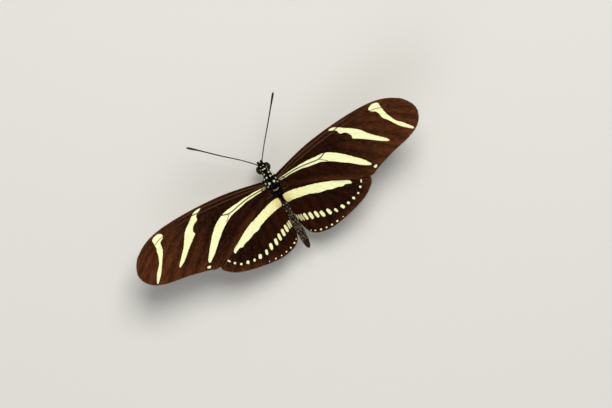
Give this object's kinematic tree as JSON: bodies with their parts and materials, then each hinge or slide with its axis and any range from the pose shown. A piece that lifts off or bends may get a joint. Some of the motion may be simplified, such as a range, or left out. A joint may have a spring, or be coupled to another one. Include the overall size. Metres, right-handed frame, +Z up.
{
  "type": "butterfly model",
  "caption": "Life-size still model of a zebra longwing butterfly with black and pale yellow striped wings spread, standing on its feet, for display",
  "frame": {"origin": "middle of the bounding box's footprint, at the level of the feet", "axes": "+X to the butterfly's left, +Y towards its tail (the head points along -Y), +Z up"},
  "size_m": [0.09, 0.0424, 0.0192],
  "materials": {
    "dark_body": "black body covered in fine hair, matte",
    "dark_head": "black head covered in fine hair, matte",
    "brown_abdomen": "dark brown abdomen covered in small scales, matte",
    "brown_wing": "thin membrane covered in dark brown and pale yellow scales, matte",
    "dark_limb": "nearly black hard skin of legs and feelers, slightly satin",
    "brown_eye": "dark reddish brown faceted eye, glossy"
  },
  "bodies": {
    "root": {"abdomen": "brown_abdomen", "antenna_left": "dark_limb", "antenna_right": "dark_limb", "eye_left": "brown_eye", "eye_right": "brown_eye", "foreleg_left": "dark_limb", "foreleg_right": "dark_limb", "forewing_left": "brown_wing", "forewing_right": "brown_wing", "head": "dark_head", "hind_leg_left": "dark_limb", "hind_leg_right": "dark_limb", "hindwing_left": "brown_wing", "hindwing_right": "brown_wing", "middle_leg_left": "dark_limb", "middle_leg_right": "dark_limb", "neck": "dark_body", "palp_left": "dark_limb", "palp_right": "dark_limb", "proboscis": "dark_limb", "thorax": "dark_body"}
  },
  "joints": []
}
